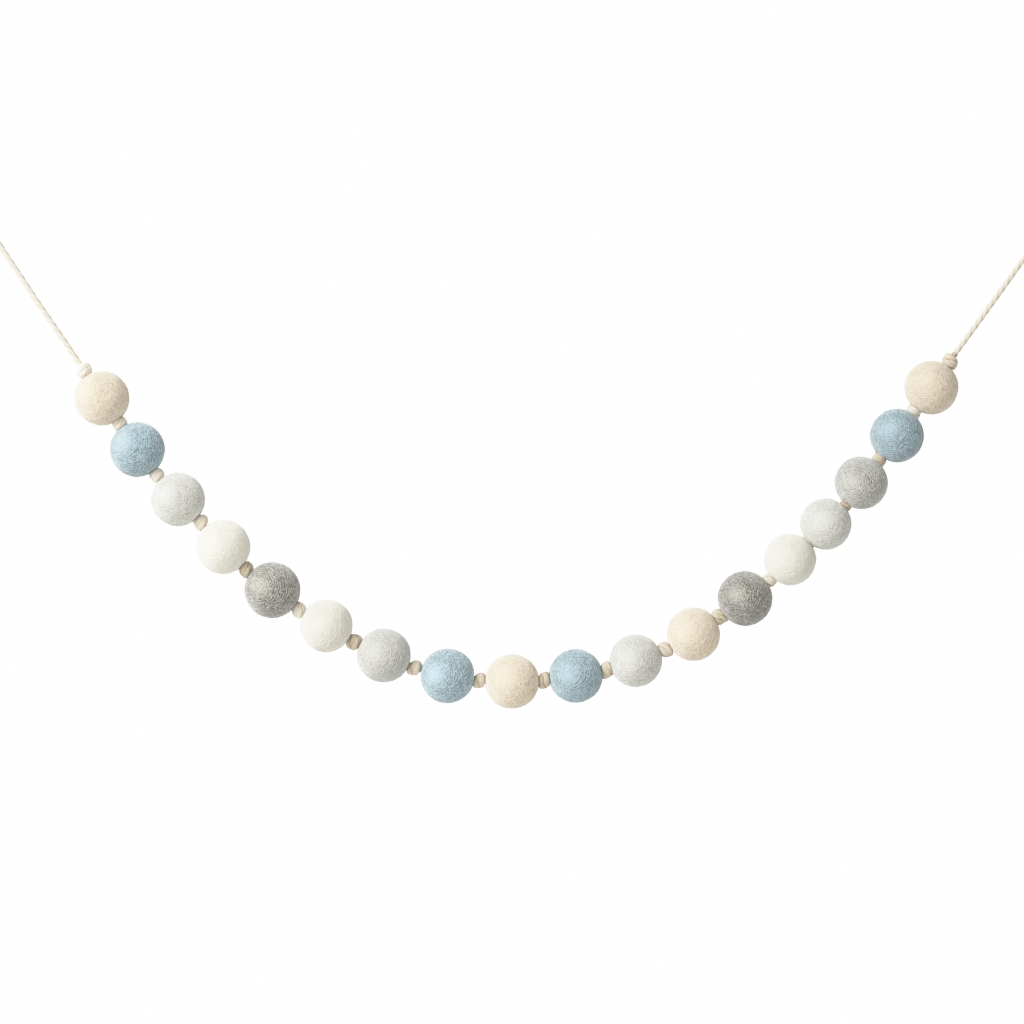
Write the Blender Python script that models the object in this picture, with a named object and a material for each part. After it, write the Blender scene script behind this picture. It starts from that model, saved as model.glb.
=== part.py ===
"""Felt ball garland: wool felt balls threaded on one cotton cord, a knot on each side of every ball.

The garland hangs in a swag from two hooks at one height, in the loops tied in the ends of its cord.
+Z is up and the garland is seen along +Y. The origin lies midway between the two hooks. Sizes are in
millimetres and degrees, and MM turns them into metres where a mesh is made.
"""

from collections import namedtuple
from math import atan2, cos, pi, radians, sin, sqrt, tan

import bmesh
import bpy
from mathutils import Vector

MM = 0.001

# Where the swag hangs: the way between its hooks, and its first ball from the left hook
HANG_SPAN = 514.5
FIRST_BALL_IN = 65.65
FIRST_BALL_DROP = 98.0

# Cotton cord of three strands, laid to the left
CORD_DIAMETER = 2.5
CORD_RADIUS = CORD_DIAMETER / 2
CORD_LAY = 13.0
CORD_SIDES = 9
STRANDS = 3
STRAND_RELIEF = 0.16

# Overhand knots: a barrel with two wraps side by side, and a plain piece of cord past an end knot
KNOT_LONG = 6.0
KNOT_SIDES = 10
KNOT_RINGS = 10
BARREL_POWER = 2.3
WRAP_PITCH = 2.8
WRAP_RELIEF = 0.22
KNOT_TAIL = 1.2

# Felt balls, pierced for the cord and pressed in where a knot or the next ball sits
BALL_SIDES = 16
BALL_RINGS = 9
SEAT_RINGS = 3
BORE_RADIUS = 1.6
SEAT_GAP = 0.35
PRESS_GAP = 0.6
SCAN_STEP = 0.05

# Loops tied in the ends of the cord
LOOP_LONG = 24.0
LOOP_BULGE = 7.8
LOOP_POWER = 1.2
LOOP_ROOT = 0.70
LOOP_STEPS = 34

# Free ends of the cord, from the end knot up to the loop's knot: across and height of their points.
# They are taut and sag only a little.
LEFT_ROUTE = ((-202.32, -81.57), (-212.2, -67.1), (-222.1, -52.6), (-231.8, -38.0), (-241.47, -23.34))
RIGHT_ROUTE = ((201.22, -77.47), (211.2, -63.9), (221.1, -50.2), (230.9, -36.5), (240.77, -22.84))

# One row for each ball, from the left: its felt, its diameter, and the slope of the cord through it
Ball = namedtuple("Ball", "felt diameter slope")
BALLS = (
    Ball("cream", 25.4, -57.0),
    Ball("blue", 25.4, -54.0),
    Ball("pale_grey", 25.0, -47.5),
    Ball("white", 25.3, -45.5),
    Ball("dark_grey", 26.0, -37.0),
    Ball("white", 24.5, -30.0),
    Ball("pale_grey", 25.1, -24.5),
    Ball("blue", 25.4, -11.0),
    Ball("cream", 25.4, 1.0),
    Ball("blue", 25.1, 9.0),
    Ball("pale_grey", 24.5, 19.5),
    Ball("cream", 24.8, 30.0),
    Ball("dark_grey", 25.5, 39.0),
    Ball("white", 24.1, 43.0),
    Ball("pale_grey", 23.9, 47.0),
    Ball("mid_grey", 24.6, 51.5),
    Ball("blue", 24.9, 54.0),
    Ball("cream", 25.0, 55.0),
)

# One row for each knot, from the left: the room it keeps between two balls (at an end of the row, twice
# the way from the ball to its middle), its width, how far its wraps slant off square (downwards to the
# right when positive), how far it leans up off the cord, and its length
Knot = namedtuple("Knot", "room wide slant lean long", defaults=(KNOT_LONG,))
KNOTS = (
    Knot(5.0, 7.0, 10.0, -0.1),
    Knot(3.3, 7.0, 5.0, 0.2),
    Knot(4.5, 6.8, 1.0, 0.1),
    Knot(5.0, 7.3, 12.0, 0.6),
    Knot(4.6, 7.0, 13.0, 0.0),
    Knot(4.7, 7.1, 12.0, -0.4),
    Knot(5.0, 7.6, -11.0, -0.4, 6.4),
    Knot(5.7, 7.0, -17.0, 0.4, 6.4),
    Knot(4.6, 7.0, -16.0, 0.2),
    Knot(4.3, 7.3, -17.0, -0.3),
    Knot(3.8, 7.4, -16.0, 0.1),
    Knot(4.7, 7.3, 13.0, -0.5),
    Knot(3.9, 7.6, 9.0, 0.6),
    Knot(2.6, 6.7, 4.0, -0.6, 5.4),
    Knot(-0.8, 5.2, 0.0, 0.0, 3.8),
    Knot(0.8, 6.0, 0.0, -0.9, 4.6),
    Knot(2.5, 7.0, -8.0, 0.3, 5.4),
    Knot(2.3, 7.1, -12.0, 0.4, 5.4),
    Knot(4.2, 7.3, -13.0, -0.3),
)
LOOP_KNOT = Knot(0.0, 8.6, 10.0, 0.0, 8.0)

FELT_COLOURS = {
    "cream": (0.83, 0.76, 0.63),
    "white": (0.88, 0.86, 0.80),
    "blue": (0.39, 0.52, 0.58),
    "pale_grey": (0.72, 0.72, 0.68),
    "mid_grey": (0.48, 0.48, 0.45),
    "dark_grey": (0.34, 0.33, 0.31),
}
FELT_ROUGHNESS = 0.95
COTTON_COLOUR = (0.84, 0.77, 0.65)
COTTON_ROUGHNESS = 0.85


def clear_scene():
    for item in list(bpy.data.objects):
        bpy.data.objects.remove(item, do_unlink=True)


def cloth_material(name, colour, roughness):
    material = bpy.data.materials.new(name)
    material.use_nodes = True
    shader = material.node_tree.nodes["Principled BSDF"]
    shader.inputs["Base Color"].default_value = (*colour, 1.0)
    shader.inputs["Roughness"].default_value = roughness
    shader.inputs["Metallic"].default_value = 0.0
    return material


def add_object(name, mesh_data, material):
    """Turn a bmesh in millimetres into a smooth, named object in metres."""
    bmesh.ops.recalc_face_normals(mesh_data, faces=mesh_data.faces)
    bmesh.ops.scale(mesh_data, vec=(MM, MM, MM), verts=mesh_data.verts)
    mesh = bpy.data.meshes.new(name)
    mesh_data.to_mesh(mesh)
    mesh_data.free()
    mesh.materials.append(material)
    mesh.shade_smooth()
    item = bpy.data.objects.new(name, mesh)
    bpy.context.collection.objects.link(item)
    return item


def along(slope):
    """Unit direction in the plane of the swag, this many degrees above level."""
    return Vector((cos(radians(slope)), 0.0, sin(radians(slope))))


def upwards(direction):
    """Unit direction square to this one, in the plane of the swag and up from it."""
    return Vector((-direction.z, 0.0, direction.x))


def ring_at(centre, direction, radius_at, sides, turned=0.0):
    """Ring of points around a direction. radius_at takes the angle, from 0 above to -pi/2 in front."""
    up = upwards(direction)
    away = Vector((0.0, 1.0, 0.0))
    ring = []
    for side in range(sides):
        angle = 2 * pi * side / sides + turned
        ring.append(centre + radius_at(angle) * (cos(angle) * up + sin(angle) * away))
    return ring


def skin_rings(rings):
    """Closed bmesh through rings that all have one count of points, with a flat cap on each end."""
    mesh_data = bmesh.new()
    loops = [[mesh_data.verts.new(point) for point in ring] for ring in rings]
    for near, far in zip(loops, loops[1:]):
        for side in range(len(near)):
            after = (side + 1) % len(near)
            mesh_data.faces.new((near[side], near[after], far[after], far[side]))
    mesh_data.faces.new(reversed(loops[0]))
    mesh_data.faces.new(loops[-1])
    return mesh_data


def knot_radius(knot, place):
    """Radius of a knot's barrel at a place along the cord, measured from the knot's middle."""
    share = min(abs(place) / (knot.long / 2), 1.0)
    barrel = knot.wide / 2 * (1 - share ** BARREL_POWER) ** (1 / BARREL_POWER)
    return max(barrel, CORD_RADIUS)


def knot_end(knot):
    """Way along the cord from a knot's middle to where its barrel has come down to the cord."""
    thin = CORD_DIAMETER / knot.wide
    return knot.long / 2 * (1 - thin ** BARREL_POWER) ** (1 / BARREL_POWER)


def knot_body(knot, place):
    """How much of a knot's lean, slant and wraps there is here: all at its middle, none at its ends."""
    return 1 - (place / knot_end(knot)) ** 2


def knot_rings(knot, middle, before, after):
    """Rings of a knot, which bends where the cord changes from one direction to the other."""
    end = knot_end(knot)
    hand = 1 if knot.slant >= 0 else -1
    rings = []
    for step in range(KNOT_RINGS + 1):
        share = 2 * step / KNOT_RINGS - 1
        place = end * share
        body = knot_body(knot, place)
        direction = before.lerp(after, (share + 1) / 2).normalized()
        up = upwards(direction)
        leg = before if place < 0 else after
        centre = middle + leg * place + up * knot.lean * body

        def wrapped(angle):
            # The dip between the two wraps is at the middle, where the knot faces the viewer
            from_front = angle + pi / 2
            wave = -cos(2 * pi * place / WRAP_PITCH + hand * from_front)
            return knot_radius(knot, place) + WRAP_RELIEF * body * wave

        ring = ring_at(centre, direction, wrapped, KNOT_SIDES)
        shear = tan(radians(knot.slant)) * body
        rings.append([point - direction * shear * (point - centre).dot(up) for point in ring])
    return rings


def knot_reach(knot, radius):
    """How far along the cord a knot reaches from its middle, at this distance off the cord."""
    inner = max(0.0, radius - abs(knot.lean))
    slope = tan(radians(abs(knot.slant)))
    reach = 0.0
    place = 0.0
    while place <= knot_end(knot):
        if knot_radius(knot, place) + WRAP_RELIEF >= inner:
            reach = max(reach, place + slope * inner * knot_body(knot, place))
        place += SCAN_STEP
    return reach


def place_balls():
    """Middles of the balls and of the knots, from one to the next along the cord."""
    directions = [along(ball.slope) for ball in BALLS]
    first = Vector((-HANG_SPAN / 2 + FIRST_BALL_IN, 0.0, -FIRST_BALL_DROP))
    balls = [first]
    knots = [first - directions[0] * (BALLS[0].diameter + KNOTS[0].room) / 2]
    for number, ball in enumerate(BALLS):
        room = KNOTS[number + 1].room
        knots.append(balls[number] + directions[number] * (ball.diameter + room) / 2)
        if number + 1 < len(BALLS):
            half_way = (BALLS[number + 1].diameter + room) / 2
            balls.append(knots[-1] + directions[number + 1] * half_way)
    return balls, knots, directions


def seat_profile(ball, knot):
    """Radius and height of a ball's end, from its bore out to where the knot's seat meets the sphere."""
    sphere = ball.diameter / 2
    to_knot = sphere + knot.room / 2
    press = to_knot - PRESS_GAP / 2
    widest = knot.wide / 2 + abs(knot.lean) + WRAP_RELIEF + SEAT_GAP

    def skin(radius):
        return sqrt(sphere ** 2 - radius ** 2)

    def seat(radius):
        return min(press, to_knot - knot_reach(knot, radius - SEAT_GAP) - SEAT_GAP)

    rim = BORE_RADIUS
    while rim < widest and seat(rim) < skin(rim):
        rim += SCAN_STEP
    points = []
    for step in range(SEAT_RINGS + 1):
        radius = BORE_RADIUS + (rim - BORE_RADIUS) * step / SEAT_RINGS
        points.append((radius, min(seat(radius), skin(radius))))
    return points


def felt_ball(name, ball, centre, direction, knots, material):
    """Ball turned around its cord, with a bore through it and a seat for the knot at each end."""
    sphere = ball.diameter / 2
    back, front = (seat_profile(ball, knot) for knot in knots)
    start = atan2(*front[-1])
    stop = pi - atan2(*back[-1])
    outline = list(front)
    for step in range(1, BALL_RINGS):
        turn = start + (stop - start) * step / BALL_RINGS
        outline.append((sphere * sin(turn), sphere * cos(turn)))
    outline += [(radius, -height) for radius, height in reversed(back)]

    mesh_data = bmesh.new()
    corners = [mesh_data.verts.new((radius, 0.0, height)) for radius, height in outline]
    edges = [mesh_data.edges.new(pair) for pair in zip(corners, corners[1:] + corners[:1])]
    middle = Vector((0.0, 0.0, 0.0))
    bmesh.ops.spin(mesh_data, geom=corners + edges, cent=middle, axis=(0.0, 0.0, 1.0),
                   angle=2 * pi, steps=BALL_SIDES, use_merge=True)
    bmesh.ops.remove_doubles(mesh_data, verts=mesh_data.verts, dist=MM)
    turned = direction.to_track_quat("Z", "Y").to_matrix()
    bmesh.ops.rotate(mesh_data, cent=middle, matrix=turned, verts=mesh_data.verts)
    bmesh.ops.translate(mesh_data, vec=centre, verts=mesh_data.verts)
    return add_object(name, mesh_data, material)


def plain_ring(centre, direction):
    return ring_at(centre, direction, lambda angle: CORD_RADIUS, KNOT_SIDES)


def threaded_cord(name, middles, directions, material):
    """The cord through all the balls, with a knot on each side of every ball, as one solid."""
    first_tail = middles[0] - directions[0] * (knot_end(KNOTS[0]) + KNOT_TAIL)
    last_tail = middles[-1] + directions[-1] * (knot_end(KNOTS[-1]) + KNOT_TAIL)
    rings = [plain_ring(first_tail, directions[0])]
    for number, knot in enumerate(KNOTS):
        before = directions[max(number - 1, 0)]
        after = directions[min(number, len(directions) - 1)]
        rings += knot_rings(knot, middles[number], before, after)
    rings.append(plain_ring(last_tail, directions[-1]))
    return add_object(name, skin_rings(rings), material)


def laid_rings(points):
    """Rings of a cord along a path, whose three strands turn on by one side from ring to ring."""
    rings = []
    for number, point in enumerate(points):
        before = points[max(number - 1, 0)]
        after = points[min(number + 1, len(points) - 1)]
        turned = 2 * pi * number / CORD_SIDES

        def laid(angle):
            return CORD_RADIUS - STRAND_RELIEF * (1 - cos(STRANDS * (angle - turned))) / 2

        rings.append(ring_at(point, (after - before).normalized(), laid, CORD_SIDES, turned))
    return rings


def smooth_route(route):
    """Points a ring's step apart along a smooth curve through the points of a route."""
    places = [Vector((across, 0.0, height)) for across, height in route]
    ends = [2 * places[0] - places[1], *places, 2 * places[-1] - places[-2]]
    points = []
    for start, near, far, stop in zip(ends, ends[1:], ends[2:], ends[3:]):
        steps = round((far - near).length / (CORD_LAY / CORD_SIDES))
        for step in range(steps):
            t = step / steps
            curve = 2 * near + (far - start) * t + (2 * start - 5 * near + 4 * far - stop) * t ** 2
            points.append((curve + (3 * near - start - 3 * far + stop) * t ** 3) / 2)
    return points + [places[-1]]


def hanging_cord(name, route, material):
    """A free end of the cord, taut from its end knot up to the knot of its loop."""
    return add_object(name, skin_rings(laid_rings(smooth_route(route))), material)


def hanging_loop(name, hook, pull, material):
    """A loop tied in the end of the cord. Its inner side bears on the hook, against the pull."""
    up = upwards(pull)
    middle = hook + pull * (CORD_RADIUS - LOOP_LONG)
    points = []
    for step in range(LOOP_STEPS + 1):
        turn = LOOP_ROOT + (2 * pi - 2 * LOOP_ROOT) * step / LOOP_STEPS
        rise = LOOP_LONG * (1 - cos(turn)) / 2
        bulge = LOOP_BULGE * sin(turn) * sin(turn / 2) ** LOOP_POWER
        points.append(middle + pull * rise + up * bulge)
    loop = add_object(name, skin_rings(laid_rings(points)), material)

    tail = plain_ring(middle - pull * (knot_end(LOOP_KNOT) + KNOT_TAIL), pull)
    rings = [tail] + knot_rings(LOOP_KNOT, middle, pull, pull)
    knot = add_object(name + "_knot", skin_rings(rings), material)
    knot.hide_render = True
    knot.display_type = "WIRE"
    tied = loop.modifiers.new("tied", "BOOLEAN")
    tied.operation = "UNION"
    tied.solver = "EXACT"
    tied.object = knot
    return loop


clear_scene()
ball_middles, knot_middles, cord_directions = place_balls()
felts = {}
for felt, felt_colour in FELT_COLOURS.items():
    felts[felt] = cloth_material("felt_" + felt, felt_colour, FELT_ROUGHNESS)
cotton = cloth_material("cotton_cord", COTTON_COLOUR, COTTON_ROUGHNESS)

for index, row in enumerate(BALLS):
    felt_ball(f"felt_ball_{index + 1:02d}", row, ball_middles[index], cord_directions[index],
              KNOTS[index:index + 2], felts[row.felt])
threaded_cord("threaded_cord", knot_middles, cord_directions, cotton)

for end_name, end_route, hook_side in (("left", LEFT_ROUTE, -1), ("right", RIGHT_ROUTE, 1)):
    hanging_cord("hanging_cord_" + end_name, end_route, cotton)
    hook_point = Vector((hook_side * HANG_SPAN / 2, 0.0, 0.0))
    route_end = Vector((end_route[-1][0], 0.0, end_route[-1][1]))
    hanging_loop("hanging_loop_" + end_name, hook_point, (hook_point - route_end).normalized(), cotton)
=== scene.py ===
from collections import namedtuple
from math import ceil, cos, pi, radians, sin, tan

import bmesh
import bpy
import numpy as np
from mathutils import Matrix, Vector
from mathutils.bvhtree import BVHTree


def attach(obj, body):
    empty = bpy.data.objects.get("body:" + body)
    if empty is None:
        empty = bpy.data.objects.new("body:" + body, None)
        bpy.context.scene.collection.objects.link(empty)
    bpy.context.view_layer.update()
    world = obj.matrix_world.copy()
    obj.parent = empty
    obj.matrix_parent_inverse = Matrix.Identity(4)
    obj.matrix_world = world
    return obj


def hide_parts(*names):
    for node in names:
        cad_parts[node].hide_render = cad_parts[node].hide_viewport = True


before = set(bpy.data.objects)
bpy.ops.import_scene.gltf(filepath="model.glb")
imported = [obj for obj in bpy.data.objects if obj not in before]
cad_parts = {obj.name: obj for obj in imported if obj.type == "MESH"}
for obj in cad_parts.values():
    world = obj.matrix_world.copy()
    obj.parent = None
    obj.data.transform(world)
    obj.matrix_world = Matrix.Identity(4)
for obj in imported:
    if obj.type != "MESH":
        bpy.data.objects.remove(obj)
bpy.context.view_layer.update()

# The camera looks square at the swag through a long lens, so that it hardly foreshortens the balls.
# It is centred a little left of the middle between the hooks, and some way below them.
VIEW_MIDDLE = (-0.00282, -0.1504)
VIEW_WIDTH = 0.4716
LENS = 100
FILM = 36
NEAREST_SEEN = 0.01

camera_data = bpy.data.cameras.new("camera")
camera_data.lens = LENS
camera_data.sensor_width = FILM
camera_data.clip_start = NEAREST_SEEN
camera = bpy.data.objects.new("camera", camera_data)
camera.location = (VIEW_MIDDLE[0], -VIEW_WIDTH * LENS / FILM, VIEW_MIDDLE[1])
camera.rotation_euler = (pi / 2, 0.0, 0.0)
bpy.context.collection.objects.link(camera)
bpy.context.scene.camera = camera

# The two free ends of the cord: natural cotton, three strands laid to the left, each of soft thin yarns
# that press flat on each other. They are held taut from the knots beside the first and last ball up to
# the loops on the hooks.
CORD_RADIUS = 0.00125
CORD_LAY = 0.013
CORD_SIDES = 24
CORD_STEP = 0.0004
STRANDS = 3
STRAND_OUT = 0.47
STRAND_ROUND = 0.53
STRAND_RELIEF = 0.40
CROWN_OUT = 1.14
COTTON = (0.85, 0.785, 0.67)
COTTON_BETWEEN = (0.74, 0.65, 0.53)
# Painted shade: the next colour is painted into the grooves between the strands, over the share of each
# strand given after it.
GROOVE_PAINTED_SHADE = (0.62, 0.52, 0.40)
GROOVE_SHADE_WIDE = 0.34
PAINTED_SHADING_DULL = -0.35
YARN_LONG = 0.0022
YARN_RELIEF = 0.0001
YARN_DARK_AT = 0.30
YARN_PALE_AT = 0.55
YARNS_A_STRAND = 6

LEFT_ROUTE = ((-0.20232, -0.08157), (-0.2122, -0.0671), (-0.2221, -0.0526), (-0.2318, -0.0380),
              (-0.24147, -0.02334))
RIGHT_ROUTE = ((0.20122, -0.07747), (0.2112, -0.0639), (0.2211, -0.0502), (0.2309, -0.0365),
               (0.24077, -0.02284))


def in_swag(across, height):
    """A point in the upright plane that the swag hangs in."""
    return np.array((across, 0.0, height))


def smooth_line(route, step):
    """Points about a step apart, on a smooth curve through the points of a route. A point may carry the
    cord's radius there as its fourth number."""
    route = np.array(route)
    gaps = np.linalg.norm(np.diff(route, axis=0), axis=1)[:, None]
    slopes = np.diff(route, axis=0) / gaps
    inner = (slopes[:-1] * gaps[1:] + slopes[1:] * gaps[:-1]) / (gaps[:-1] + gaps[1:])
    tangents = np.vstack([slopes[:1], inner, slopes[-1:]])
    line = []
    for near, far, leave, arrive, gap in zip(route, route[1:], tangents, tangents[1:], gaps):
        t = np.linspace(0, 1, ceil(gap[0] / step), endpoint=False)[:, None]
        line.append(near * (2 * t ** 3 - 3 * t ** 2 + 1) + far * (3 * t ** 2 - 2 * t ** 3)
                    + gap * (leave * (t ** 3 - 2 * t ** 2 + t) + arrive * (t ** 3 - t ** 2)))
    return np.vstack(line + [route[-1:]])


def new_piece(name, points, faces, material, stands_for):
    """A smooth mesh piece on the root body, in the place of a CAD node."""
    mesh = bpy.data.meshes.new(name)
    mesh.from_pydata(points, [], faces)
    mesh.materials.append(material)
    mesh.shade_smooth()
    piece = bpy.data.objects.new(name, mesh)
    bpy.context.collection.objects.link(piece)
    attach(piece, "root")
    if stands_for:
        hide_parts(stands_for)
    return piece


def laid_cord(name, line, radii, material, stands_for):
    """A cord along a line of points, with a radius at each. Its strands turn to the left, about once in
    each length of lay. At both ends one strand lies at the back, so that the next cord carries on."""
    heading = np.gradient(line, axis=0)
    heading /= np.linalg.norm(heading, axis=1)[:, None]
    run = np.concatenate([[0], np.cumsum(np.linalg.norm(np.diff(line, axis=0), axis=1))])
    side = np.array((0.0, 1.0, 0.0))
    sides = []
    for way in heading:
        side = side - way * side.dot(way)
        side /= np.linalg.norm(side)
        sides.append(side)
    sides = np.array(sides)[:, None]
    across = np.cross(heading, sides[:, 0])[:, None]
    whole_turns = round(STRANDS * run[-1] / CORD_LAY) / STRANDS
    twist = 2 * pi * whole_turns - np.arctan2(across[-1, 0, 1], sides[-1, 0, 1])

    around = 2 * pi * np.arange(CORD_SIDES) / CORD_SIDES
    from_strand = (around * STRANDS + pi) % (2 * pi) / STRANDS - pi / STRANDS
    lobe = STRAND_OUT * np.cos(from_strand)
    lobe += np.sqrt(STRAND_ROUND ** 2 - (STRAND_OUT * np.sin(from_strand)) ** 2)
    reach = CROWN_OUT - STRAND_RELIEF * (1 - lobe)
    turned = (around[None] - twist * run[:, None] / run[-1])[:, :, None]
    points = line[:, None] + radii[:, None, None] * reach[None, :, None] * (
        np.cos(turned) * sides + np.sin(turned) * across)

    faces = [tuple(range(CORD_SIDES))[::-1]]
    strand_place = [(corner, 0.0, 0.0) for corner in faces[0]]
    for ring in range(len(line) - 1):
        for corner in range(CORD_SIDES):
            after = (corner + 1) % CORD_SIDES
            near, far = ring * CORD_SIDES, (ring + 1) * CORD_SIDES
            faces.append((near + corner, near + after, far + after, far + corner))
            strand_place += [(corner, run[ring], 0), (corner + 1, run[ring], 0),
                             (corner + 1, run[ring + 1], 0), (corner, run[ring + 1], 0)]
    last = (len(line) - 1) * CORD_SIDES
    faces.append(tuple(range(last, last + CORD_SIDES)))
    strand_place += [(corner, run[-1], 0.0) for corner in range(CORD_SIDES)]

    piece = new_piece(name, points.reshape(-1, 3), faces, material, stands_for)
    place = piece.data.attributes.new("strand_place", "FLOAT_VECTOR", "CORNER")
    scaled = np.array(strand_place) * (STRANDS * YARNS_A_STRAND / CORD_SIDES, 1 / YARN_LONG, 0)
    place.data.foreach_set("vector", scaled.ravel())
    # Painted shading starts at one everywhere, which paints neither shade nor light.
    soil = piece.data.attributes.new("soil", "FLOAT", "POINT")
    soil.data.foreach_set("value", np.ones(points.size // 3))
    return piece


def add_node(tree, kind, **values):
    """A shader node with these settings, or with these values on its sockets."""
    node = tree.nodes.new("ShaderNode" + kind)
    for name, value in values.items():
        if hasattr(node, name):
            setattr(node, name, value)
        else:
            node.inputs[name.replace("_", " ")].default_value = value
    return node


def cotton_material(name):
    """Matt cotton: thin yarns run along each strand, and the grooves between its strands are painted
    darker, as painted shade.
    Each point's painted shading deepens and dulls the colour as painted shade, or lightens it as painted
    light where it is below one."""
    material = bpy.data.materials.new(name)
    material.use_nodes = True
    tree = material.node_tree
    shader = tree.nodes["Principled BSDF"]
    shader.inputs["Roughness"].default_value = 0.8
    shader.inputs["Specular IOR Level"].default_value = 0.25
    shader.inputs["Sheen Weight"].default_value = 0.15
    shader.inputs["Sheen Roughness"].default_value = 0.4
    place = add_node(tree, "Attribute", attribute_name="strand_place")
    around = add_node(tree, "SeparateXYZ")
    within = add_node(tree, "Math", operation="PINGPONG")
    within.inputs[1].default_value = YARNS_A_STRAND / 2
    # Painted shade: the grooves between the strands take the groove colour.
    groove_shade_mask = add_node(tree, "MapRange", interpolation_type="SMOOTHSTEP")
    groove_shade_mask.inputs["From Min"].default_value = YARNS_A_STRAND / 2
    groove_shade_mask.inputs["From Max"].default_value = YARNS_A_STRAND / 2 * (1 - GROOVE_SHADE_WIDE)
    groove_shaded = add_node(tree, "Mix", data_type="RGBA")
    groove_shaded.inputs["A"].default_value = (*GROOVE_PAINTED_SHADE, 1.0)
    yarns = add_node(tree, "TexNoise", Scale=1.0, Detail=3.0, Roughness=0.6)
    tint = add_node(tree, "ValToRGB")
    tint.color_ramp.elements[0].position = YARN_DARK_AT
    tint.color_ramp.elements[0].color = (*COTTON_BETWEEN, 1.0)
    tint.color_ramp.elements[1].position = YARN_PALE_AT
    tint.color_ramp.elements[1].color = (*COTTON, 1.0)
    # Painted shading from the mesh: above one it darkens and saturates the cotton as painted shade,
    # below one it lightens it as painted light.
    soil = add_node(tree, "Attribute", attribute_name="soil")
    shading_painted = add_node(tree, "Gamma")
    dull = add_node(tree, "Math", operation="POWER")
    dull.inputs[1].default_value = PAINTED_SHADING_DULL
    dulled = add_node(tree, "HueSaturation")
    bump = add_node(tree, "Bump", Strength=0.6, Distance=YARN_RELIEF)
    tree.links.new(place.outputs["Vector"], yarns.inputs["Vector"])
    tree.links.new(yarns.outputs["Fac"], tint.inputs["Fac"])
    tree.links.new(place.outputs["Vector"], around.inputs["Vector"])
    tree.links.new(around.outputs["X"], within.inputs[0])
    tree.links.new(within.outputs["Value"], groove_shade_mask.inputs["Value"])
    tree.links.new(groove_shade_mask.outputs["Result"], groove_shaded.inputs["Factor"])
    tree.links.new(tint.outputs["Color"], groove_shaded.inputs["B"])
    tree.links.new(groove_shaded.outputs["Result"], shading_painted.inputs["Color"])
    tree.links.new(soil.outputs["Fac"], shading_painted.inputs["Gamma"])
    tree.links.new(soil.outputs["Fac"], dull.inputs[0])
    tree.links.new(dull.outputs["Value"], dulled.inputs["Value"])
    tree.links.new(shading_painted.outputs["Color"], dulled.inputs["Color"])
    tree.links.new(dulled.outputs["Color"], shader.inputs["Base Color"])
    tree.links.new(yarns.outputs["Fac"], bump.inputs["Height"])
    tree.links.new(bump.outputs["Normal"], shader.inputs["Normal"])
    return material


cotton = cotton_material("cotton_cord")
free_lines = {}
for side_name, route in (("left", LEFT_ROUTE), ("right", RIGHT_ROUTE)):
    free_line = smooth_line([in_swag(*point) for point in route], CORD_STEP)
    even = np.full(len(free_line), CORD_RADIUS)
    free_lines[side_name] = free_line
    laid_cord("free_end_" + side_name, free_line, even, cotton,
                                     "hanging_cord_" + side_name)

# The same cotton cord goes through all the balls, with a double overhand knot pulled tight on each side
# of every ball: two wraps side by side round the two ends that leave it. The pull rounds each knot off
# to a bead. Each knot has its own painted shading: painted shade on most knots between the balls,
# painted light on the first few. This section measures in mm and degrees.
KNOT_WIDE = 7.0
KNOT_LONG = 6.0
WRAP_RADIUS = 1.62
WRAP_OUT = 2.0
WRAP_APART = 1.38
WRAP_POINTS = 9
WRAP_END = 1.45 * pi
CORE_RADIUS = 1.05
KNOT_CORE = ((0.75, -0.95, 0.95), (-0.30, -0.35, 0.65), (-1.60, -0.10, 0.20), (-2.90, 0.0, 0.0))
KNOT_BODY = 3.3
KNOT_TAIL = 4.2
KNOT_STRAIGHT = 5.6
BEAD_POWER = 2.8
BEAD_NECK = 1.6
MM = 0.001
HANG_SPAN = 514.5
FIRST_BALL_IN = 65.65
FIRST_BALL_DROP = 98.0

# Each ball: its felt and diameter, the slope of the cord through it, how far across and up the middle
# of its rings faces, and how pale its dye took.
Ball = namedtuple("Ball", "felt diameter slope swirl_across swirl_up tone")
BALLS = (
    Ball("cream", 25.4, -57.0, -0.48, 0.24, 1.00),
    Ball("blue", 25.4, -54.0, -0.43, 0.26, 1.01),
    Ball("pale_grey", 25.0, -47.5, -0.38, 0.20, 1.04),
    Ball("white", 25.3, -45.5, -0.40, 0.14, 1.04),
    Ball("dark_grey", 26.0, -37.0, -0.41, 0.18, 1.05),
    Ball("white", 24.5, -30.0, -0.30, 0.12, 0.98),
    Ball("pale_grey", 25.1, -24.5, -0.35, 0.22, 0.92),
    Ball("blue", 25.4, -11.0, -0.44, 0.15, 1.07),
    Ball("cream", 25.4, 1.0, -0.28, 0.25, 1.03),
    Ball("blue", 25.1, 9.0, -0.33, 0.17, 0.99),
    Ball("pale_grey", 24.5, 19.5, -0.36, 0.14, 1.01),
    Ball("cream", 24.8, 30.0, -0.42, 0.20, 1.02),
    Ball("dark_grey", 25.5, 39.0, -0.40, 0.19, 0.95),
    Ball("white", 24.1, 43.0, -0.38, 0.10, 0.98),
    Ball("pale_grey", 23.9, 47.0, -0.30, 0.13, 1.03),
    Ball("mid_grey", 24.6, 51.5, -0.50, 0.05, 1.00),
    Ball("blue", 24.9, 54.0, -0.40, 0.25, 0.93),
    Ball("cream", 25.0, 55.0, -0.35, 0.22, 0.95),
)
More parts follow.
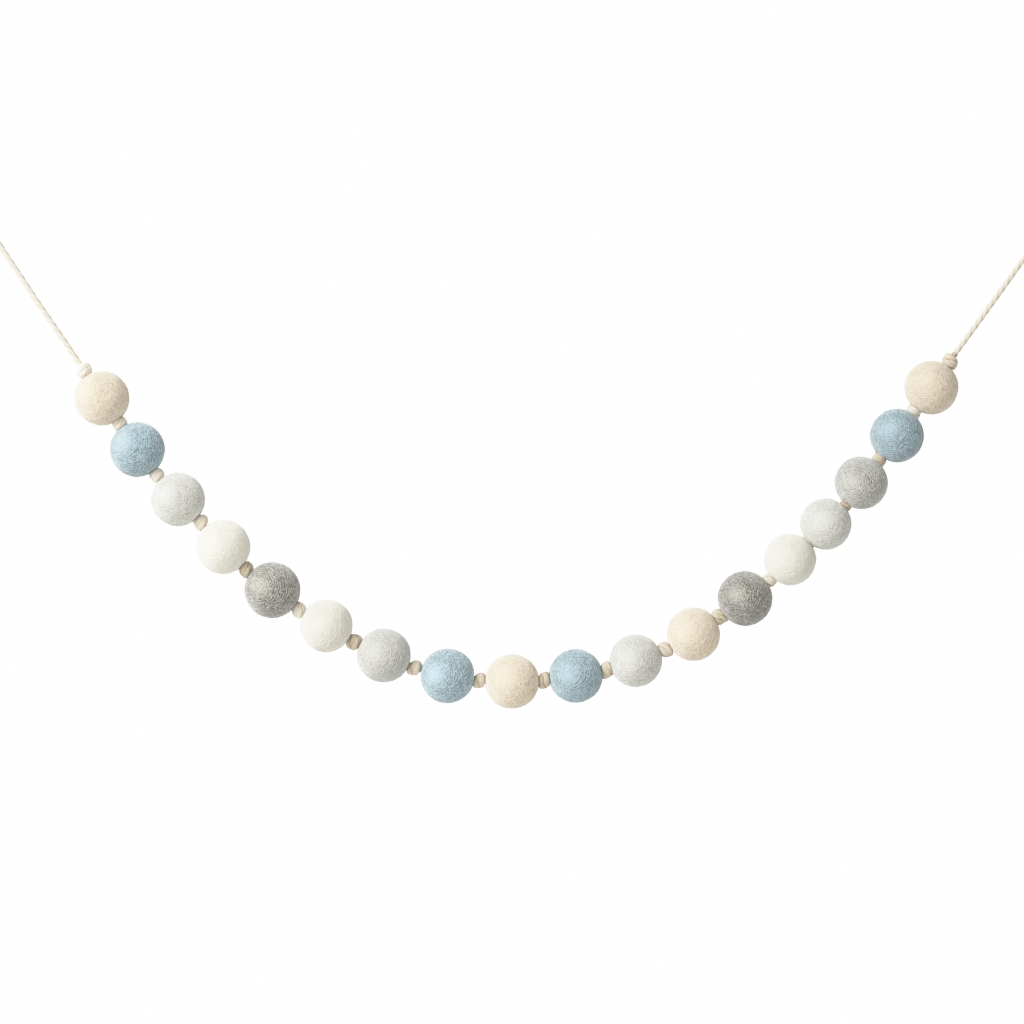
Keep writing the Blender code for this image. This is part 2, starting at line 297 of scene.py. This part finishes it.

# Each knot: the room between the balls beside it, its width, the slant of its wraps, how far it leans
# up out of line, how far along the groove between its wraps lies, its length, and its painted shading
# (above one painted shade, below one painted light).
Knot = namedtuple("Knot", "room wide slant lean groove long soil")
KNOTS = (
    Knot(5.0, 7.7, 10.0, 0.0, 0.1, 6.4, 0.80),
    Knot(3.3, 7.1, 5.0, 0.6, -0.1, 6.0, 0.92),
    Knot(4.5, 7.0, 1.0, 0.5, -0.3, 6.2, 0.88),
    Knot(5.0, 7.5, 12.0, 0.9, -0.4, 6.2, 1.02),
    Knot(4.6, 7.6, 13.0, 0.4, 0.3, 6.2, 1.60),
    Knot(4.7, 7.5, 12.0, 0.0, -0.2, 6.2, 0.98),
    Knot(5.0, 7.9, -11.0, 0.0, -0.1, 6.6, 1.62),
    Knot(5.7, 7.6, -17.0, 0.8, -0.4, 6.6, 1.30),
    Knot(4.6, 7.5, -16.0, 0.8, -0.4, 6.2, 1.32),
    Knot(4.3, 8.1, -17.0, 0.3, -0.4, 6.2, 1.50),
    Knot(3.8, 8.2, -16.0, 0.6, 0.0, 6.2, 1.36),
    Knot(4.7, 8.0, 13.0, 0.4, 0.1, 6.2, 1.25),
    Knot(3.9, 7.9, 9.0, 1.2, 0.2, 6.6, 1.48),
    Knot(2.6, 6.9, 4.0, -0.5, 0.2, 5.6, 1.05),
    Knot(-0.8, 6.8, 0.0, 0.0, 0.0, 3.6, 1.20),
    Knot(0.8, 6.0, 0.0, -0.9, 0.0, 4.6, 1.75),
    Knot(2.5, 7.1, -8.0, 0.2, 0.2, 5.4, 1.45),
    Knot(2.3, 7.5, -12.0, 0.4, -0.2, 5.6, 1.02),
    Knot(4.2, 7.9, -13.0, -0.3, -0.1, 6.6, 1.34),
)


def along(slope):
    """Unit direction in the plane of the swag, this many degrees above level."""
    return np.array((cos(radians(slope)), 0.0, sin(radians(slope))))


def upwards(direction):
    """Unit direction square to this one, in the plane of the swag and up from it."""
    return np.array((-direction[2], 0.0, direction[0]))


def place_balls():
    """Middles of the balls and of the knots in metres, from one to the next along the cord."""
    ways = [along(ball.slope) for ball in BALLS]
    first = in_swag(-HANG_SPAN / 2 + FIRST_BALL_IN, -FIRST_BALL_DROP)
    balls = [first]
    knots = [first - ways[0] * (BALLS[0].diameter + KNOTS[0].room) / 2]
    for number, ball in enumerate(BALLS):
        room = KNOTS[number + 1].room
        knots.append(balls[number] + ways[number] * (ball.diameter + room) / 2)
        if number + 1 < len(BALLS):
            half_way = (BALLS[number + 1].diameter + room) / 2
            balls.append(knots[-1] + ways[number + 1] * half_way)
    return np.array(balls) * MM, np.array(knots) * MM, ways


def body_share(x):
    """How far a place along a knot belongs to its body: 1 in its middle, 0 in the cord at its ends."""
    return np.clip(1 - (x / KNOT_BODY) ** 2, 0, 1)


def knot_route(knot, middle, before, after):
    """Points along the cord through one knot, from left to right, each with the cord's radius there."""
    hand = 1 if knot.slant >= 0 else -1
    up = upwards((before + after) / np.linalg.norm(before + after))
    grow = knot.wide / KNOT_WIDE
    stretch = knot.long / KNOT_LONG
    half = []
    for turn in np.linspace(0, WRAP_END, WRAP_POINTS):
        across = WRAP_APART * sin(turn / 2)
        half.append((across, WRAP_OUT * sin(turn), WRAP_OUT * cos(turn), WRAP_RADIUS))
    half += [(*point, CORE_RADIUS) for point in KNOT_CORE]
    half += [(-out, 0.0, 0.0, CORD_RADIUS / MM) for out in (KNOT_TAIL, KNOT_STRAIGHT)]
    whole = half[::-1] + [(-x, -y, z, radius) for x, y, z, radius in half[1:]]
    route = []
    for x, y, z, radius in whole:
        body = body_share(x)
        x = x * stretch + (knot.groove - y * grow * tan(radians(abs(knot.slant)))) * body
        leg = before if x < 0 else after
        place = leg * x + up * (hand * y * grow + knot.lean * body) + (0, z * grow, 0)
        route.append((*(middle + MM * place), MM * radius * (grow if radius > CORE_RADIUS else 1)))
    return route


def pull_tight(piece, knot, middle, before, after):
    """Draw the wraps of one knot in to the bead that they make when it is pulled tight."""
    way = (before + after) / np.linalg.norm(before + after)
    up = upwards(way)
    slant = tan(radians(knot.slant))
    points = np.empty(len(piece.data.vertices) * 3)
    piece.data.vertices.foreach_get("co", points)
    points = points.reshape(-1, 3)
    near = np.linalg.norm(points - middle, axis=1) < knot.wide * MM
    place = (points[near] - middle) / MM
    x, y, z = place @ way, place @ up, place[:, 1]
    body = body_share(x)
    y = y - knot.lean * body
    x = x + y * slant * body
    out = np.hypot(y, z)
    half = knot.long / 2
    x = np.where(out > BEAD_NECK, np.clip(x, -half, half), x)
    round_off = (1 - np.minimum(1, np.abs(x) / half) ** BEAD_POWER) ** (1 / BEAD_POWER)
    bead = np.maximum(BEAD_NECK, knot.wide / 2 * round_off)
    kept = np.minimum(1, bead / np.maximum(out, BEAD_NECK))
    y, z = y * kept, z * kept
    x = x - y * slant * body
    y = y + knot.lean * body
    points[near] = middle + MM * (x[:, None] * way + y[:, None] * up + z[:, None] * (0, 1, 0))
    piece.data.vertices.foreach_set("co", points.ravel())
    # Painted shading: the knot's own painted shade, or painted light where its value is below one, goes
    # on its cord.
    soil = piece.data.attributes["soil"]
    shading_values = np.empty(len(near))
    soil.data.foreach_get("value", shading_values)
    shading_values[near] = knot.soil
    soil.data.foreach_set("value", shading_values)


ball_middles, knot_middles, cord_ways = place_balls()
tied_at = list(zip(KNOTS, knot_middles, cord_ways[:1] + cord_ways, cord_ways + cord_ways[-1:]))
whole_route = []
for knot, middle, before, after in tied_at:
    whole_route += knot_route(knot, middle, before, after)
knotted_line = smooth_line(whole_route[1:-1], CORD_STEP)
knotted_cord = laid_cord("knotted_cord", knotted_line[:, :3], knotted_line[:, 3], cotton,
                         "threaded_cord")
for knot, middle, before, after in tied_at:
    pull_tight(knotted_cord, knot, middle, before, after)

# Each end of the cotton cord is doubled back and tied in a loop with one more knot, just outside the
# view. The loop goes over a hook, which isn't built.
LOOP_LONG = 0.024
LOOP_BULGE = 0.0078
LOOP_POWER = 1.2
LOOP_ROOT = 0.35
LOOP_POINTS = 16
LOOP_KNOT = Knot(0.0, 8.6, 10.0, 0.0, 0.0, 8.0, 1.0)


def hanging_loop(side_name, hook, free_line):
    """A teardrop loop whose inner side bears on its hook, and the knot that closes it. The loop's first
    points take the place of the knot's last ones."""
    pull = hook - free_line[-1]
    pull /= np.linalg.norm(pull)
    up = upwards(pull)
    middle = hook + pull * (CORD_RADIUS - LOOP_LONG)
    loop = []
    for step in range(LOOP_POINTS + 1):
        turn = LOOP_ROOT + (2 * pi - 2 * LOOP_ROOT) * step / LOOP_POINTS
        rise = LOOP_LONG * (1 - cos(turn)) / 2
        bulge = LOOP_BULGE * sin(turn) * sin(turn / 2) ** LOOP_POWER
        loop.append((*(middle + pull * rise + up * bulge), CORD_RADIUS))
    tied = knot_route(LOOP_KNOT, middle, pull, pull)
    line = smooth_line(tied[1:-3] + loop, CORD_STEP)
    piece = laid_cord("loop_" + side_name, line[:, :3], line[:, 3], cotton,
                      "hanging_loop_" + side_name)
    pull_tight(piece, LOOP_KNOT, middle, pull, pull)
    return piece


for side_name, hook_side in (("left", -1), ("right", 1)):
    free_line = free_lines[side_name]
    hook_point = in_swag(hook_side * HANG_SPAN / 2 * MM, 0)
    loop_piece = hanging_loop(side_name, hook_point, free_line)

# The balls are carded wool, wet felted by rolling between the palms, so that the fibres lie in rings
# round the place that each was rolled about last, and the skin shrinks into fine crinkles along them.
# Each is pierced with a needle, and its knots sit a little way in it.
BALL_CELLS = 48
BORE_CELLS = 4
BORE_RADIUS = 0.0019
RIDGE_GRAIN = 0.00090
RIDGE_LONG = 0.0020
RIDGE_DEEP = 0.00005
LUMP_GRAIN = 0.006
LUMP_DEEP = 0.00012
COMB_STEPS = 5
SEAT_REACH = 0.0052
SEAT_CLEAR = 0.00016
SEAT_DEEPEST = 0.0029
SEAT_RAYS = 0.00030
SEAT_LOOK = 1.5
SEAT_SPOTS = ((0, 0), (1, 0), (0.7, 0.7), (0, 1), (-0.7, 0.7), (-1, 0), (-0.7, -0.7), (0, -1),
              (0.7, -0.7))
PRESS_GAP = 0.0002
NOISE_TABLE = 4096
NOISE_SHIFT = 1000
NOISE_STEPS = (1619, 31337, 6971)
SKIN_SEEDS = 10
RING_APART = 0.00115
RING_WANDER = 1.4
WANDER_GRAIN = 0.0024
# The ring and crinkle figures below set both how deep the pits sink and how much painted shade they
# take.
RING_DARK = 0.20
CRINKLE_WIDE = 0.00075
CRINKLE_LONG = 0.00080
CRINKLE_DARK = 1.8
CRINKLE_DETAIL = 1.0
PATCH_GRAIN = 0.005
PATCH_DARK = 0.25
# The next two numbers also set where the painted shade away from the middle of the rings begins and
# ends.
RIM_ROUGH = 0.0088
POLE_SHARE = 0.40
DYE_AT = 0.7
FIBRE_WIDE = 0.00032
FIBRE_LONG = 0.00060
FIBRE_DEEP = 0.00005
FIBRE_DETAIL = 1.5
FIBRE_MIX = 2.5

# Each felt: its dye, what the dye is multiplied by at the deep end (in the pits and in painted shade)
# and on the pale fibres, how heathered it is, how deep its crinkles are, how much painted shade it gets
# away from the middle of its rings, which is turned toward the key light, and its sheen.
Felt = namedtuple("Felt", "dye deep pale heather relief far_dark sheen")
FELTS = {
    "cream": Felt((0.95, 0.84, 0.685), 0.66, 1.02, 0.22, 0.00011, 0.50, 0.25),
    "white": Felt((0.93, 0.91, 0.815), 0.82, 1.03, 0.22, 0.00010, 0.50, 0.25),
    "blue": Felt((0.56, 0.715, 0.78), 0.38, 1.15, 0.22, 0.00016, 0.55, 0.35),
    "pale_grey": Felt((0.83, 0.83, 0.78), 0.60, 1.06, 0.15, 0.00012, 0.52, 0.32),
    "mid_grey": Felt((0.655, 0.65, 0.61), 0.38, 1.25, 0.45, 0.00018, 0.45, 0.80),
    "dark_grey": Felt((0.59, 0.575, 0.525), 0.22, 1.40, 0.70, 0.00021, 0.62, 0.75),
}


def ball_template():
    """Directions to the points of a ball, evenly spread, with its faces and the points of its bore's two
    rims. The bore lies along Z."""
    shape = bmesh.new()
    bmesh.ops.create_cube(shape, size=2.0)
    bmesh.ops.subdivide_edges(shape, edges=shape.edges, cuts=BALL_CELLS - 1, use_grid_fill=True)
    mouth = 2 * (BORE_CELLS + 0.5) / BALL_CELLS
    bored = [face for face in shape.faces
             if max(abs(face.calc_center_median().x), abs(face.calc_center_median().y)) < mouth
             and abs(face.calc_center_median().z) > 1 - 1 / BALL_CELLS]
    bmesh.ops.delete(shape, geom=bored, context="FACES")
    rims = [edge for edge in shape.edges if edge.is_boundary]
    bmesh.ops.bridge_loops(shape, edges=rims)
    bmesh.ops.recalc_face_normals(shape, faces=shape.faces)
    shape.verts.index_update()
    rim = sorted({vert.index for edge in rims for vert in edge.verts})
    corners = np.array([vert.co for vert in shape.verts])
    faces = [tuple(vert.index for vert in face.verts) for face in shape.faces]
    shape.free()
    bowed = np.tan(corners * pi / 4)
    return bowed / np.linalg.norm(bowed, axis=1)[:, None], faces, rim


def wool_noise(points, grain, seed):
    """Smooth noise from -1 to 1 in cells of one grain."""
    table = np.random.default_rng(seed).uniform(-1, 1, NOISE_TABLE)
    cells = points / grain + NOISE_SHIFT
    low = np.floor(cells).astype(int)
    t = cells - low
    t = t * t * (3 - 2 * t)
    total = 0
    for corner in np.ndindex(2, 2, 2):
        spot = low + corner
        key = (spot @ NOISE_STEPS) ^ (spot[:, 0] * spot[:, 1] + spot[:, 2])
        share = np.where(corner, t, 1 - t).prod(axis=1)
        total = total + share * table[key % NOISE_TABLE]
    return total


def turned_about(points, axis, angle):
    """Points turned about an axis through the origin, each by its own angle."""
    angle = angle[:, None]
    along_axis = points @ axis
    return (points * np.cos(angle) + np.cross(axis, points) * np.sin(angle)
            + axis * (along_axis * (1 - np.cos(angle[:, 0])))[:, None])


def combed(points, axis, grain, length, seed):
    """Noise drawn out along the rings round the axis, as wool is that was rolled about it."""
    off_axis = np.maximum(np.linalg.norm(np.cross(points, axis), axis=1), length / 2)
    total = 0
    for share in np.linspace(-0.5, 0.5, COMB_STEPS):
        drawn_out = turned_about(points, axis, share * length / off_axis)
        total = total + wool_noise(drawn_out, grain, seed)
    return total / COMB_STEPS


def ring_noise(tree, length, width, detail):
    """A noise whose grains lie along the rings of the ball's wool."""
    place = add_node(tree, "TexCoord")
    ring = add_node(tree, "Attribute", attribute_name="ring")
    across = add_node(tree, "Math", operation="MULTIPLY")
    across.inputs[1].default_value = length / width
    noise = add_node(tree, "TexNoise", noise_dimensions="4D", Scale=1 / length, Detail=detail)
    tree.links.new(place.outputs["Object"], noise.inputs["Vector"])
    tree.links.new(ring.outputs["Fac"], across.inputs[0])
    tree.links.new(across.outputs["Value"], noise.inputs["W"])
    return noise.outputs["Fac"]


def reckon(tree, operation, *values):
    """A sum, product or other figure worked out from sockets and numbers."""
    node = add_node(tree, "Math", operation=operation)
    for number, value in enumerate(values):
        if isinstance(value, bpy.types.NodeSocket):
            tree.links.new(value, node.inputs[number])
        else:
            node.inputs[number].default_value = value
    return node.outputs["Value"]


def felt_material(name, felt, tone):
    """Matt felted wool, crinkled along the rings: deeper in colour in the pits, partly as painted shade
    and partly for the denser fibres there, painted darker away from the middle of the rings as painted
    shade, with paler fibres mixed in.
    """
    material = bpy.data.materials.new(name)
    material.use_nodes = True
    tree = material.node_tree
    shader = tree.nodes["Principled BSDF"]
    shader.inputs["Roughness"].default_value = 0.95
    shader.inputs["Diffuse Roughness"].default_value = 1.0
    shader.inputs["Specular IOR Level"].default_value = 0.15
    shader.inputs["Sheen Weight"].default_value = felt.sheen
    shader.inputs["Sheen Roughness"].default_value = 0.5

    place = add_node(tree, "TexCoord")
    wander = add_node(tree, "TexNoise", Scale=1 / WANDER_GRAIN, Detail=2.0)
    patches = add_node(tree, "TexNoise", Scale=1 / PATCH_GRAIN, Detail=1.0)
    for noise in (wander, patches):
        tree.links.new(place.outputs["Object"], noise.inputs["Vector"])
    ring = add_node(tree, "Attribute", attribute_name="ring")
    # Painted shade, in part: the ring grooves and crinkle pits that sink the bump also darken the
    # colour.
    turns = reckon(tree, "MULTIPLY_ADD", ring.outputs["Fac"], 2 * pi / RING_APART,
                   reckon(tree, "MULTIPLY", wander.outputs["Fac"], 2 * pi * RING_WANDER))
    groove = reckon(tree, "MULTIPLY", reckon(tree, "SINE", turns), RING_DARK)
    crinkle = ring_noise(tree, CRINKLE_LONG, CRINKLE_WIDE, CRINKLE_DETAIL)
    pit = reckon(tree, "MULTIPLY_ADD", reckon(tree, "SUBTRACT", crinkle, 0.5), CRINKLE_DARK, groove)
    depth = add_node(tree, "MapRange", interpolation_type="SMOOTHSTEP")
    depth.inputs["From Max"].default_value = RIM_ROUGH
    depth.inputs["To Min"].default_value = POLE_SHARE
    tree.links.new(ring.outputs["Fac"], depth.inputs["Value"])
    # Painted shade: the felt is painted darker away from the middle of its rings, which is turned toward
    # the key light; the random patches ride on the same figure.
    patches_and_painted_shade = reckon(tree, "MULTIPLY_ADD", patches.outputs["Fac"], -PATCH_DARK,
                    PATCH_DARK / 2 - felt.far_dark)
    fibre = ring_noise(tree, FIBRE_LONG, FIBRE_WIDE, FIBRE_DETAIL)
    strands = reckon(tree, "MULTIPLY", reckon(tree, "SUBTRACT", fibre, 0.5), FIBRE_MIX * felt.heather)
    marks_and_painted_shade = reckon(tree, "SUBTRACT", reckon(tree, "ADD", strands, patches_and_painted_shade), pit)
    shade = reckon(tree, "MULTIPLY_ADD", marks_and_painted_shade, depth.outputs["Result"],
                   DYE_AT + felt.far_dark * POLE_SHARE)
    blend = add_node(tree, "ValToRGB")
    stops = blend.color_ramp.elements
    dyed = stops.new(DYE_AT)
    shades = ((stops[0], 0.0, felt.deep), (stops[-1], 1.0, felt.pale), (dyed, DYE_AT, 1.0))
    for stop, position, shift in shades:
        stop.position = position
        stop.color = (*(tone * shift * part for part in felt.dye), 1.0)
    tree.links.new(shade, blend.inputs["Fac"])
    tree.links.new(blend.outputs["Color"], shader.inputs["Base Color"])

    sunk = reckon(tree, "MULTIPLY", pit, depth.outputs["Result"])
    crinkled = add_node(tree, "Bump", invert=True, Distance=felt.relief)
    fuzzed = add_node(tree, "Bump", Distance=FIBRE_DEEP)
    tree.links.new(sunk, crinkled.inputs["Height"])
    tree.links.new(fibre, fuzzed.inputs["Height"])
    tree.links.new(crinkled.outputs["Normal"], fuzzed.inputs["Normal"])
    tree.links.new(fuzzed.outputs["Normal"], shader.inputs["Normal"])
    return material


def ball_skin(ball, middle, way, swirl, press, seed):
    """Points of one ball's skin round its middle: its ridges, its bore, and the seats of its knots."""
    turn = np.array(Vector(way).to_track_quat("Z", "Y").to_matrix())
    radius = ball.diameter / 2 * MM
    points = directions @ turn.T * radius
    ridges = -np.abs(combed(points, swirl, RIDGE_GRAIN, RIDGE_LONG, seed))
    ridges = (ridges - ridges.mean()) / ridges.std()
    lumps = wool_noise(points, LUMP_GRAIN, seed + 1)
    height = RIDGE_DEEP * ridges + LUMP_DEEP * (lumps - 1)
    points *= (1 + height / radius)[:, None]

    lengthwise = points @ way
    offset = points - lengthwise[:, None] * way
    off_axis = np.linalg.norm(offset, axis=1)
    offset[rim] *= BORE_RADIUS / off_axis[rim][:, None]
    points = offset + lengthwise[:, None] * way
    for end in (-1, 1):
        flat = press[end] - PRESS_GAP / 2
        capped = (lengthwise * end > 0) & (off_axis < SEAT_REACH)
        for index in np.nonzero(capped)[0]:
            room = flat
            for nudge in SEAT_SPOTS:
                start = middle + offset[index] + turn @ np.array((*nudge, 0)) * SEAT_RAYS
                knot_at = knot_tree.ray_cast(Vector(start), Vector(way * end), radius * SEAT_LOOK)[3]
                if knot_at is not None and knot_at > radius - SEAT_DEEPEST:
                    room = min(room, knot_at - SEAT_CLEAR)
            if lengthwise[index] * end > room:
                points[index] = offset[index] + way * end * room
    return points


directions, ball_faces, rim = ball_template()
cord_points = [vertex.co for vertex in knotted_cord.data.vertices]
cord_faces = [face.vertices[:] for face in knotted_cord.data.polygons]
knot_tree = BVHTree.FromPolygons(cord_points, cord_faces)
balls_made = []
for number, ball in enumerate(BALLS):
    middle = ball_middles[number]
    press = {-1: (ball.diameter + KNOTS[number].room) / 2 * MM,
             1: (ball.diameter + KNOTS[number + 1].room) / 2 * MM}
    toward_view = (1 - ball.swirl_across ** 2 - ball.swirl_up ** 2) ** 0.5
    swirl = np.array((ball.swirl_across, -toward_view, ball.swirl_up))
    points = ball_skin(ball, middle, cord_ways[number], swirl, press, SKIN_SEEDS * number)
    wool = felt_material(f"{ball.felt}_wool_{number + 1:02d}", FELTS[ball.felt], ball.tone)
    piece = new_piece(f"{ball.felt}_ball_{number + 1:02d}", points + middle, ball_faces, wool,
                      f"felt_ball_{number + 1:02d}")
    outward = points / np.linalg.norm(points, axis=1)[:, None]
    ring = np.arccos(np.clip(outward @ swirl, -1, 1)) * ball.diameter / 2 * MM
    piece.data.attributes.new("ring", "FLOAT", "POINT").data.foreach_set("value", ring)
    balls_made.append((ball.felt, middle, points, cord_ways[number], swirl, wool))

# Loose fibres stand a little out of the felt all over each ball. They are the ends and bends of its wool
# that the felting didn't lock in, most of them lying along the rings.
FUZZ_SEED = 500
FUZZ_A_BALL = 740
FUZZ_SHORT = 0.0009
FUZZ_LONG = 0.0028
FUZZ_LOW = 0.00008
FUZZ_HIGH = 0.00045
FUZZ_ROOT = 0.00008
FUZZ_CURL = 0.35
FUZZ_BEND = (0.5, 1.0)
FUZZ_STRAY = 0.8
FUZZ_RADIUS = 0.000024
FUZZ_ROOT_WIDE = 1.3
FUZZ_TAPER = 0.8
FUZZ_POINTS = 4
FUZZ_SIDES = 3
FUZZ_CLEAR = 0.0066


def loose_fibres(points, way, swirl, seed):
    """Points and faces of one ball's loose fibres: thin tapered tubes rooted in its skin."""
    dice = np.random.default_rng(seed)
    away = np.linalg.norm(points - (points @ way)[:, None] * way, axis=1) > FUZZ_CLEAR
    roots = dice.permutation(points[away])[:FUZZ_A_BALL]
    count = len(roots)
    height = np.linalg.norm(roots, axis=1)
    outward = roots / height[:, None]
    ringwise = np.cross(swirl, outward)
    ringwise /= np.linalg.norm(ringwise, axis=1)[:, None]
    turn = dice.normal(0, FUZZ_STRAY, count) + pi * dice.integers(0, 2, count)
    ahead = ringwise * np.cos(turn)[:, None] + np.cross(outward, ringwise) * np.sin(turn)[:, None]
    aside = np.cross(outward, ahead)
    length = dice.uniform(FUZZ_SHORT, FUZZ_LONG, count)
    rise = dice.uniform(FUZZ_LOW, FUZZ_HIGH, count)
    bend = pi * dice.uniform(*FUZZ_BEND, count)
    curl = FUZZ_CURL * dice.uniform(-1, 1, count)
    rings = []
    for t in np.linspace(0, 1, FUZZ_POINTS):
        spot = roots + ahead * (length * t)[:, None] + aside * (length * curl * t * t)[:, None]
        spot /= np.linalg.norm(spot, axis=1)[:, None]
        spot *= (height - FUZZ_ROOT + (rise + FUZZ_ROOT) * np.sin(bend * t))[:, None]
        thick = FUZZ_RADIUS * (FUZZ_ROOT_WIDE - FUZZ_TAPER * t)
        for corner in 2 * pi * np.arange(FUZZ_SIDES) / FUZZ_SIDES:
            rings.append(spot + thick * (cos(corner) * outward + sin(corner) * aside))
    stations = np.array(rings).transpose(1, 0, 2)
    faces = []
    for first in range(0, count * FUZZ_POINTS * FUZZ_SIDES, FUZZ_POINTS * FUZZ_SIDES):
        faces.append(tuple(first + corner for corner in range(FUZZ_SIDES))[::-1])
        for low in range(first, first + (FUZZ_POINTS - 1) * FUZZ_SIDES, FUZZ_SIDES):
            high = low + FUZZ_SIDES
            for corner in range(FUZZ_SIDES):
                after = (corner + 1) % FUZZ_SIDES
                faces.append((low + corner, low + after, high + after, high + corner))
        tip = first + (FUZZ_POINTS - 1) * FUZZ_SIDES
        faces.append(tuple(tip + corner for corner in range(FUZZ_SIDES)))
    return stations.reshape(-1, 3), faces


for number, (felt_name, middle, points, way, swirl, wool) in enumerate(balls_made):
    fuzz_points, fuzz_faces = loose_fibres(points, way, swirl, FUZZ_SEED + number)
    new_piece(f"{felt_name}_fuzz_{number + 1:02d}", fuzz_points + middle, fuzz_faces, wool, None)

# The garland hangs in a white room: a pale round floor under it, a soft light from the left and a
# little above, and white all round.
FLOOR_RADIUS = 1.1
FLOOR_DROP = -0.62
FLOOR_SIDES = 96
FLOOR_COLOUR = (0.86, 0.86, 0.85)
KEY_COLOUR = (1.0, 0.995, 0.985)
KEY_WAY = (-0.80, -0.74, 0.58)
KEY_AWAY = 1.6
KEY_WIDE = 0.9
KEY_POWER = 27.0
ROOM_COLOUR = (1.0, 0.99, 0.96)
ROOM_FRONT = 0.34
ROOM_BACK = 1.15
ROOM_WHITE = 2.1

floor_shape = bmesh.new()
bmesh.ops.create_circle(floor_shape, cap_ends=True, radius=FLOOR_RADIUS, segments=FLOOR_SIDES)
floor_mesh = bpy.data.meshes.new("floor")
floor_shape.to_mesh(floor_mesh)
floor_shape.free()
floor_paint = bpy.data.materials.new("floor_paint")
floor_paint.use_nodes = True
floor_shader = floor_paint.node_tree.nodes["Principled BSDF"]
floor_shader.inputs["Base Color"].default_value = (*FLOOR_COLOUR, 1.0)
floor_shader.inputs["Roughness"].default_value = 0.9
floor_mesh.materials.append(floor_paint)
floor = bpy.data.objects.new("floor", floor_mesh)
floor.location = (0.0, 0.0, FLOOR_DROP)
bpy.context.collection.objects.link(floor)

key_data = bpy.data.lights.new("key_light", "AREA")
key_data.shape = "DISK"
key_data.size = KEY_WIDE
key_data.energy = KEY_POWER
key_data.color = KEY_COLOUR
key = bpy.data.objects.new("key_light", key_data)
key_way = Vector(KEY_WAY).normalized()
key.location = Vector((0.0, 0.0, VIEW_MIDDLE[1])) + key_way * KEY_AWAY
key.rotation_euler = key_way.to_track_quat("Z", "Y").to_euler()
key.visible_camera = False
bpy.context.collection.objects.link(key)

room = bpy.data.worlds.new("white_room")
bpy.context.scene.world = room
room.use_nodes = True
sky = room.node_tree
soft = sky.nodes["Background"]
soft.inputs["Color"].default_value = (*ROOM_COLOUR, 1.0)
toward = add_node(sky, "TexCoord")
parts = add_node(sky, "SeparateXYZ")
fade = add_node(sky, "MapRange")
fade.inputs["From Min"].default_value = -1.0
fade.inputs["To Min"].default_value = ROOM_FRONT
fade.inputs["To Max"].default_value = ROOM_BACK
sky.links.new(toward.outputs["Generated"], parts.inputs["Vector"])
sky.links.new(parts.outputs["Y"], fade.inputs["Value"])
sky.links.new(fade.outputs["Result"], soft.inputs["Strength"])
white = add_node(sky, "Background", Color=(1.0, 1.0, 1.0, 1.0), Strength=ROOM_WHITE)
seen = add_node(sky, "LightPath")
either = add_node(sky, "MixShader")
sky.links.new(seen.outputs["Is Camera Ray"], either.inputs[0])
sky.links.new(soft.outputs["Background"], either.inputs[1])
sky.links.new(white.outputs["Background"], either.inputs[2])
sky.links.new(either.outputs["Shader"], sky.nodes["World Output"].inputs["Surface"])

# The picture's bright parts are held back a little before they turn white, as on film. Each pair is
# the light that comes in and the light that the picture shows.
FILM_RESPONSE = ((0.0, 0.0), (0.43, 0.43), (0.63, 0.615), (0.80, 0.745), (0.924, 0.82), (1.12, 0.895),
                 (1.45, 0.96), (1.8, 0.985), (2.5, 1.0))

look = bpy.context.scene.view_settings
look.view_transform = "Standard"
look.use_curve_mapping = True
look.curve_mapping.use_clip = False
look.curve_mapping.clip_max_x = FILM_RESPONSE[-1][0]
look.curve_mapping.extend = "EXTRAPOLATED"
response = look.curve_mapping.curves[3].points
response[0].location = FILM_RESPONSE[0]
response[1].location = FILM_RESPONSE[-1]
for light_in, light_out in FILM_RESPONSE[1:-1]:
    response.new(light_in, light_out)
look.curve_mapping.update()
